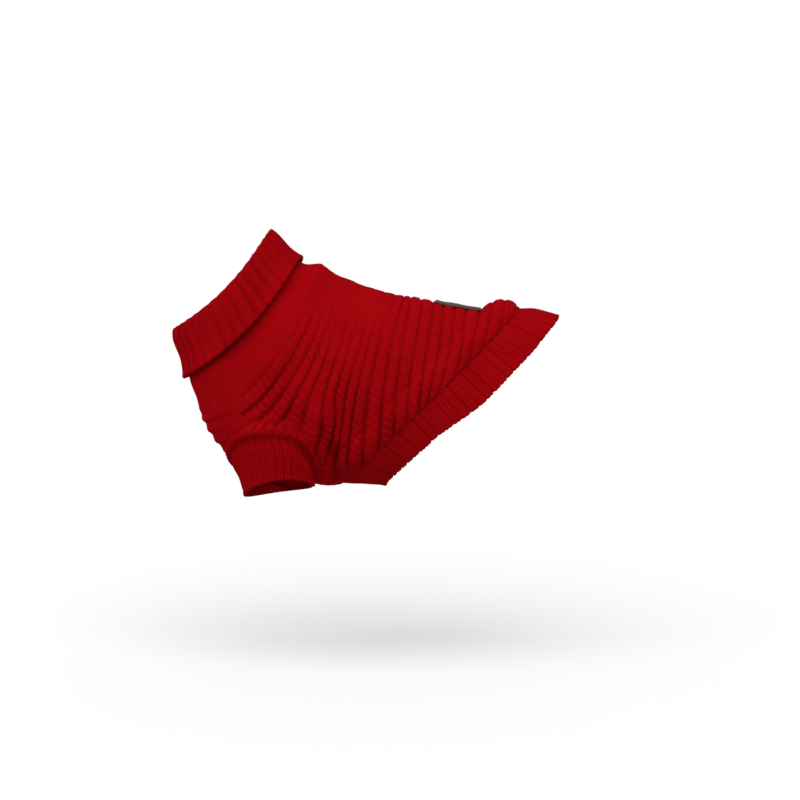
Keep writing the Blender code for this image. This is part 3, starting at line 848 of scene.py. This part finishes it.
def label_stitches(settings):
    """Stitches of waxed thread round the label, each a slim grain lying on the leather."""
    corners = np.array(((STITCH_INSET, STITCH_INSET),
                        (LABEL_LENGTH - STITCH_INSET, STITCH_INSET),
                        (LABEL_LENGTH - STITCH_INSET, LABEL_WIDTH - STITCH_INSET),
                        (STITCH_INSET, LABEL_WIDTH - STITCH_INSET)))
    work = bmesh.new()
    for start, end in zip(corners, np.roll(corners, -1, axis=0)):
        count = round(float(np.linalg.norm(end - start)) / STITCH_PITCH)
        for number in range(count):
            ends = start + (end - start) * np.array(((number + 0.12,), (number + 0.88,))) / count
            lift = np.full(2, settings.label_wall - 0.1 * MM)
            points = label_points(ends[:, 0], ends[:, 1], lift)
            raised = label_points(ends[:, 0], ends[:, 1], lift + MM)
            reach = (points[1] - points[0]) / 2
            up = unit(raised[0] - points[0])
            side = unit(np.cross(up, reach))
            place = np.eye(4)
            place[:3, 0], place[:3, 1] = reach, side * STITCH_THICKNESS / 2
            place[:3, 2], place[:3, 3] = up * STITCH_THICKNESS / 2, points.mean(axis=0)
            bmesh.ops.create_icosphere(work, subdivisions=2, radius=1.0, matrix=Matrix(place))
    for face in work.faces:
        face.smooth = True
    mesh = bpy.data.meshes.new("label_stitches")
    work.to_mesh(mesh)
    work.free()
    return link(mesh, "label_stitches")


# ---- materials ----

def colour(hex_code):
    """An sRGB hex colour as linear values."""
    parts = [int(hex_code[i:i + 2], 16) / 255 for i in (1, 3, 5)]
    return tuple(p / 12.92 if p <= 0.04045 else ((p + 0.055) / 1.055) ** 2.4 for p in parts)


def add_node(tree, kind, settings, inputs):
    """Adds a node with its settings. Each input gets a value, or a link from a socket."""
    node = tree.nodes.new(kind)
    for name, value in settings.items():
        setattr(node, name, value)
    for name, value in inputs.items():
        if isinstance(value, bpy.types.NodeSocket):
            tree.links.new(value, node.inputs[name])
        else:
            node.inputs[name].default_value = value
    return node


def new_material(name):
    """A material with its node tree and its shader."""
    material = bpy.data.materials.new(name)
    material.use_nodes = True
    return material, material.node_tree, material.node_tree.nodes["Principled BSDF"]


def stitch_height(tree, place, stitch):
    """Height of the stitches, as wide and as tall as stitch says, with their loops leaning in."""
    scaled = add_node(tree, "ShaderNodeMapping", {}, {
        "Vector": place.outputs["UV"], "Scale": (1000 / stitch[0], 1000 / stitch[1], 1.0)})
    split = add_node(tree, "ShaderNodeSeparateXYZ", {}, {0: scaled.outputs[0]})
    lean = add_node(tree, "ShaderNodeMath", {"operation": "PINGPONG"}, {
        0: split.outputs["X"], 1: 0.5})
    course = add_node(tree, "ShaderNodeMath", {"operation": "MULTIPLY_ADD"}, {
        0: lean.outputs[0], 1: 1.2, 2: split.outputs["Y"]})
    turn = add_node(tree, "ShaderNodeMath", {"operation": "MULTIPLY"}, {
        0: course.outputs[0], 1: 2 * math.pi})
    loops = add_node(tree, "ShaderNodeMath", {"operation": "SINE"}, {0: turn.outputs[0]})
    wales = add_node(tree, "ShaderNodeMath", {"operation": "MULTIPLY"}, {
        0: lean.outputs[0], 1: 1.6})
    heights = add_node(tree, "ShaderNodeMath", {"operation": "MULTIPLY_ADD"}, {
        0: loops.outputs[0], 1: 0.3, 2: wales.outputs[0]})
    return heights.outputs[0]


def yarn_colour(tree, place, settings, flecked_share):
    """Yarn with painted shade in its grooves and creases, dyed unevenly in patches 36 millimetres
    across.

    It has pale flecks of fibre 1.4 millimetres wide.
    """
    relief = add_node(tree, "ShaderNodeAttribute", {"attribute_name": "relief"}, {})
    # Painted shade: the yarn turns a darker red where the relief attribute is low, down in the
    # grooves and rib valleys
    depth = add_node(tree, "ShaderNodeMapRange", {}, {
        "Value": relief.outputs["Fac"], "From Min": -0.9, "From Max": -0.1})
    lit = add_node(tree, "ShaderNodeMix", {"data_type": "RGBA"}, {
        0: depth.outputs["Result"], 6: (*colour(settings.groove_shade_and_dye_red), 1),
        7: (*colour(settings.yarn_red), 1)})
    # Deeper painted shade down in the creases, where the relief attribute falls below a groove's
    # depth
    crease = add_node(tree, "ShaderNodeMapRange", {}, {
        "Value": relief.outputs["Fac"], "From Min": -2.2, "From Max": -0.9})
    tone = add_node(tree, "ShaderNodeMix", {"data_type": "RGBA"}, {
        0: crease.outputs["Result"], 6: (*colour(settings.crease_shade_red), 1),
        7: lit.outputs[2]})
    cloud = add_node(tree, "ShaderNodeTexNoise", {}, {
        "Vector": place.outputs["Object"], "Scale": 1 / (36 * MM), "Detail": 3.0})
    uneven_dye = add_node(tree, "ShaderNodeMapRange", {}, {
        "Value": cloud.outputs["Fac"], "From Min": 0.35, "From Max": 0.7, "To Max": 0.35})
    # The dye patches are darkened toward the same red as the painted groove shade
    dyed = add_node(tree, "ShaderNodeMix", {"data_type": "RGBA"}, {
        0: uneven_dye.outputs["Result"], 6: tone.outputs[2],
        7: (*colour(settings.groove_shade_and_dye_red), 1)})
    drawn_out = add_node(tree, "ShaderNodeMapping", {}, {
        "Vector": place.outputs["UV"], "Scale": (1.0, 0.3, 1.0)})
    fleck_noise = add_node(tree, "ShaderNodeTexNoise", {}, {
        "Vector": drawn_out.outputs[0], "Scale": 1 / (1.4 * MM), "Detail": 1.0})
    flecks = add_node(tree, "ShaderNodeMapRange", {}, {
        "Value": fleck_noise.outputs["Fac"], "From Min": 0.65, "From Max": 0.75,
        "To Max": flecked_share})
    flecked = add_node(tree, "ShaderNodeMix", {"data_type": "RGBA"}, {
        0: flecks.outputs["Result"], 6: dyed.outputs[2], 7: (*colour(FLECK_PINK), 1)})
    return flecked.outputs[2]


def yarn_material(name, settings, stitch, flecked_share):
    """Soft acrylic and wool yarn, knitted: matt, with a faint nap that glows at the edges."""
    material, tree, shader = new_material(name)
    place = add_node(tree, "ShaderNodeTexCoord", {}, {})
    height = stitch_height(tree, place, stitch)
    # Fuzz of loose fibres, 1.1 millimetres across
    fibres = add_node(tree, "ShaderNodeTexNoise", {}, {
        "Vector": place.outputs["Object"], "Scale": 1 / (1.1 * MM), "Detail": 3.0,
        "Roughness": 0.7})
    rough = add_node(tree, "ShaderNodeMath", {"operation": "MULTIPLY_ADD"}, {
        0: fibres.outputs["Fac"], 1: 0.5, 2: height})
    bump = add_node(tree, "ShaderNodeBump", {}, {
        "Height": rough.outputs[0], "Strength": 0.55, "Distance": 0.5 * MM})
    colours = yarn_colour(tree, place, settings, flecked_share)
    tree.links.new(colours, shader.inputs["Base Color"])
    tree.links.new(bump.outputs["Normal"], shader.inputs["Normal"])
    shader.inputs["Roughness"].default_value = 0.9
    shader.inputs["IOR"].default_value = 1.5
    shader.inputs["Specular IOR Level"].default_value = 0.0
    shader.inputs["Sheen Weight"].default_value = 0.06
    shader.inputs["Sheen Roughness"].default_value = 0.4
    shader.inputs["Sheen Tint"].default_value = (1.0, 0.03, 0.09, 1.0)
    return material


def leather_material(name, settings):
    """Vegetable-tanned leather: brown, darker at its cut edges, with a fine pebbled grain."""
    material, tree, shader = new_material(name)
    place = add_node(tree, "ShaderNodeTexCoord", {}, {})
    from_edge = add_node(tree, "ShaderNodeAttribute", {"attribute_name": "relief"}, {})
    worn = add_node(tree, "ShaderNodeMapRange", {}, {
        "Value": from_edge.outputs["Fac"], "From Min": 0.4, "From Max": 4.0})
    tone = add_node(tree, "ShaderNodeMix", {"data_type": "RGBA"}, {
        0: worn.outputs["Result"], 6: (*colour(LEATHER_EDGE), 1),
        7: (*colour(settings.leather_brown), 1)})
    # Rubbed patches 11 millimetres across, and a grain of 0.9 millimetres
    cloud = add_node(tree, "ShaderNodeTexNoise", {}, {
        "Vector": place.outputs["Object"], "Scale": 1 / (11 * MM), "Detail": 4.0})
    rubbed = add_node(tree, "ShaderNodeMapRange", {}, {
        "Value": cloud.outputs["Fac"], "From Min": 0.45, "From Max": 0.75, "To Max": 0.5})
    mottled = add_node(tree, "ShaderNodeMix", {"data_type": "RGBA"}, {
        0: rubbed.outputs["Result"], 6: tone.outputs[2], 7: (*colour(LEATHER_RUBBED), 1)})
    grain = add_node(tree, "ShaderNodeTexVoronoi", {"feature": "SMOOTH_F1"}, {
        "Vector": place.outputs["Object"], "Scale": 1 / (0.9 * MM)})
    bump = add_node(tree, "ShaderNodeBump", {}, {
        "Height": grain.outputs["Distance"], "Strength": 0.35, "Distance": 0.2 * MM})
    tree.links.new(mottled.outputs[2], shader.inputs["Base Color"])
    tree.links.new(bump.outputs["Normal"], shader.inputs["Normal"])
    shader.inputs["Roughness"].default_value = 0.7
    shader.inputs["Specular IOR Level"].default_value = 0.2
    return material


def thread_material(name, settings):
    """Waxed linen thread: brown, with a dull wax shine, and painted shade down between its plies.
    """
    material, tree, shader = new_material(name)
    place = add_node(tree, "ShaderNodeTexCoord", {}, {})
    # Plies twisted every 1.2 millimetres, and a diagonal wave has ten radians to its scale
    plies = add_node(tree, "ShaderNodeTexWave", {"bands_direction": "DIAGONAL"}, {
        "Vector": place.outputs["Object"], "Scale": 2 * math.pi / (10 * 1.2 * MM),
        "Distortion": 1.0})
    # Painted shade: the thread is darker where the plies' bump is low, between the plies
    tone = add_node(tree, "ShaderNodeMix", {"data_type": "RGBA"}, {
        0: plies.outputs["Fac"], 6: (*colour(THREAD_GROOVE_SHADE), 1),
        7: (*colour(settings.thread_brown), 1)})
    bump = add_node(tree, "ShaderNodeBump", {}, {
        "Height": plies.outputs["Fac"], "Strength": 0.5, "Distance": 0.1 * MM})
    tree.links.new(tone.outputs[2], shader.inputs["Base Color"])
    tree.links.new(bump.outputs["Normal"], shader.inputs["Normal"])
    shader.inputs["Roughness"].default_value = 0.6
    shader.inputs["Specular IOR Level"].default_value = 0.3
    return material


def paper_material(name):
    """Seamless studio paper: pale and matt."""
    material, _, shader = new_material(name)
    shader.inputs["Base Color"].default_value = (*colour(PAPER_GREY), 1)
    shader.inputs["Roughness"].default_value = 0.95
    return material


def shared_material(name, make, *values):
    """The material of this name, made the first time it is asked for."""
    return bpy.data.materials.get(name) or make(name, *values)


# ---- the add-on ----

class SweaterSettings(bpy.types.PropertyGroup):
    """Sizes and colours of the sweater."""
    body_wall: bpy.props.FloatProperty(
        name="Body cloth", description="Thickness of the cable knit", default=3.0 * MM,
        unit="LENGTH")
    rib_wall: bpy.props.FloatProperty(
        name="Ribbed cloth", description="Thickness of the collar, band and cuffs",
        default=2.6 * MM, unit="LENGTH")
    label_wall: bpy.props.FloatProperty(
        name="Label leather", description="Thickness of the label", default=1.3 * MM,
        unit="LENGTH")
    groove_depth: bpy.props.FloatProperty(
        name="Groove depth", description="How deep the grooves between the cables are",
        default=2.1 * MM, unit="LENGTH")
    groove_share: bpy.props.FloatProperty(
        name="Groove share", description="Half a groove's width, as a share of a cable's pitch",
        default=0.22, subtype="FACTOR")
    lobe_length: bpy.props.FloatProperty(
        name="Cable twist", description="Length of one strand's lobe along a cable",
        default=7.4 * MM, unit="LENGTH")
    rope_rows: bpy.props.FloatVectorProperty(
        name="Rope rows", description="Where the rows of faces lie across one cable",
        default=(0.0, 0.07, 0.14, 0.22, 0.36, 0.5, 0.64, 0.78, 0.86, 0.93), size=10,
        subtype="NONE")
    chest_rib: bpy.props.FloatProperty(
        name="Chest rib", description="Pitch of the faint ribs on the belly panel",
        default=6.2 * MM, unit="LENGTH")
    rib_depth: bpy.props.FloatProperty(
        name="Rib depth", description="Depth of the ribs on the hem band and the cuffs",
        default=1.1 * MM, unit="LENGTH")
    collar_depth: bpy.props.FloatProperty(
        name="Collar rib depth", description="Depth of the ribs on the collar",
        default=1.2 * MM, unit="LENGTH")
    hem_ribs: bpy.props.IntProperty(
        name="Hem ribs", description="Ribs round the hem band", default=136)
    collar_ribs: bpy.props.IntProperty(
        name="Collar ribs", description="Ribs round the collar", default=108)
    cuff_ribs: bpy.props.IntProperty(
        name="Cuff ribs", description="Ribs round each cuff", default=66)
    yarn_red: bpy.props.StringProperty(
        name="Yarn", description="Colour of the yarn, as sRGB hex", default="#6F0306")
    # Painted shade down in the grooves; the same red also darkens the uneven dye patches
    groove_shade_and_dye_red: bpy.props.StringProperty(
        name="Groove", description="Colour of the yarn deep in the knitting, as sRGB hex",
        default="#5A0204")
    # Painted shade deep in a crease
    crease_shade_red: bpy.props.StringProperty(
        name="Crease", description="Colour of the yarn deep in a crease, as sRGB hex",
        default="#360102")
    leather_brown: bpy.props.StringProperty(
        name="Leather", description="Colour of the label, as sRGB hex", default="#2A120B")
    thread_brown: bpy.props.StringProperty(
        name="Thread", description="Colour of the label's stitches, as sRGB hex",
        default="#5C3A26")


def cable_yarn(settings):
    return shared_material("cable knit yarn", yarn_material, settings, BODY_STITCH, 0.35)


def rib_yarn(settings):
    return shared_material("rib knit yarn", yarn_material, settings, RIB_STITCH, 0.15)


class SWEATER_OT_back_panel(bpy.types.Operator):
    """Knits the back panel, with its cables and armhole openings."""
    bl_idname = "sweater.back_panel"
    bl_label = "Back panel"

    def execute(self, context):
        settings = context.scene.sweater
        piece = back_panel_piece(settings)
        open_armholes(piece, settings)
        place_piece(piece, "back_panel", cable_yarn(settings))
        return {"FINISHED"}


class SWEATER_OT_belly_panel(bpy.types.Operator):
    """Knits the chest and belly panel."""
    bl_idname = "sweater.belly_panel"
    bl_label = "Belly panel"

    def execute(self, context):
        settings = context.scene.sweater
        piece = belly_panel_piece(settings)
        open_armholes(piece, settings)
        place_piece(piece, "belly_panel", cable_yarn(settings))
        return {"FINISHED"}


class SWEATER_OT_hem_band(bpy.types.Operator):
    """Knits the ribbed band round the hem."""
    bl_idname = "sweater.hem_band"
    bl_label = "Hem band"

    def execute(self, context):
        settings = context.scene.sweater
        piece = hem_band_piece(settings)
        place_piece(piece, "hem_band", rib_yarn(settings))
        return {"FINISHED"}


class SWEATER_OT_collar(bpy.types.Operator):
    """Knits the collar, with its stand and its turned-down part."""
    bl_idname = "sweater.collar"
    bl_label = "Collar"

    def execute(self, context):
        settings = context.scene.sweater
        piece = collar_piece(settings)
        place_piece(piece, "collar", rib_yarn(settings))
        return {"FINISHED"}


class SWEATER_OT_cuffs(bpy.types.Operator):
    """Knits the two leg cuffs."""
    bl_idname = "sweater.cuffs"
    bl_label = "Leg cuffs"

    def execute(self, context):
        settings = context.scene.sweater
        for name, node, side in (("cuff_left_knit", "cuff_left", -1.0),
                                 ("cuff_right_knit", "cuff_right", 1.0)):
            piece = cuff_piece(name, side, settings)
            place_piece(piece, node, rib_yarn(settings))
        return {"FINISHED"}


class SWEATER_OT_label(bpy.types.Operator):
    """Cuts and stitches the bare leather label."""
    bl_idname = "sweater.label"
    bl_label = "Label"

    def execute(self, context):
        settings = context.scene.sweater
        piece = label_piece(settings)
        leather = shared_material("brown leather", leather_material, settings)
        place_piece(piece, "label", leather)
        stitches = label_stitches(settings)
        thread = shared_material("waxed thread", thread_material, settings)
        stitches.data.materials.append(thread)
        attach(stitches, "root")
        return {"FINISHED"}


def add_softbox(name, energy, angle, direction):
    """A studio softbox, far away, that shines in a direction. Its angle is in degrees."""
    lamp = bpy.data.lights.new(name, "SUN")
    lamp.energy = energy
    lamp.angle = math.radians(angle)
    holder = link(lamp, name)
    holder.rotation_euler = Vector(direction).to_track_quat("-Z", "Y").to_euler()


class SWEATER_OT_stage(bpy.types.Operator):
    """Sets out the floor, the studio lights and the camera."""
    bl_idname = "sweater.stage"
    bl_label = "Stage"

    def execute(self, context):
        scene = context.scene
        scene.view_settings.view_transform = "Standard"
        work = bmesh.new()
        bmesh.ops.create_grid(work, x_segments=1, y_segments=1, size=FLOOR_REACH)
        bmesh.ops.translate(work, verts=work.verts[:], vec=(0.0, 0.0, -FLOOR_DROP))
        mesh = bpy.data.meshes.new("floor")
        work.to_mesh(mesh)
        work.free()
        mesh.materials.append(paper_material("white studio paper"))
        link(mesh, "floor")

        world = bpy.data.worlds.new("soft white studio")
        scene.world = world
        world.use_nodes = True
        world.node_tree.nodes["Background"].inputs["Color"].default_value = (1, 1, 1, 1)
        world.node_tree.nodes["Background"].inputs["Strength"].default_value = 1.0
        add_softbox("overhead softbox", 4.4, 80, (0.12, 0.75, -0.95))
        add_softbox("front softbox", 1.0, 60, (1.0, 0.1, -0.25))

        camera = bpy.data.cameras.new("camera")
        camera.lens = CAMERA_LENS
        camera.sensor_width = CAMERA_SENSOR
        holder = link(camera, "camera")
        holder.location = CAMERA_PLACE
        holder.rotation_euler = (CAMERA_PITCH, 0.0, 0.0)
        scene.camera = holder
        return {"FINISHED"}


PIECE_OPERATORS = (
    SWEATER_OT_back_panel, SWEATER_OT_belly_panel, SWEATER_OT_hem_band, SWEATER_OT_collar,
    SWEATER_OT_cuffs, SWEATER_OT_label, SWEATER_OT_stage)


class SWEATER_PT_pieces(bpy.types.Panel):
    """Lists the sweater's pieces and settings."""
    bl_label = "Sweater"
    bl_idname = "SWEATER_PT_pieces"
    bl_space_type = "VIEW_3D"
    bl_region_type = "UI"
    bl_category = "Sweater"

    def draw(self, context):
        settings = context.scene.sweater
        for name in settings.bl_rna.properties.keys():
            if name not in ("rna_type", "name"):
                self.layout.prop(settings, name)
        for operator in PIECE_OPERATORS:
            self.layout.operator(operator.bl_idname)


CLASSES = (SweaterSettings, *PIECE_OPERATORS, SWEATER_PT_pieces)


def register():
    for made in CLASSES:
        bpy.utils.register_class(made)
    bpy.types.Scene.sweater = bpy.props.PointerProperty(type=SweaterSettings)


def unregister():
    del bpy.types.Scene.sweater
    for made in reversed(CLASSES):
        bpy.utils.unregister_class(made)


def main():
    register()
    bpy.ops.sweater.stage()
    bpy.ops.sweater.back_panel()
    bpy.ops.sweater.belly_panel()
    bpy.ops.sweater.hem_band()
    bpy.ops.sweater.collar()
    bpy.ops.sweater.cuffs()
    bpy.ops.sweater.label()


if __name__ == "__main__":
    main()
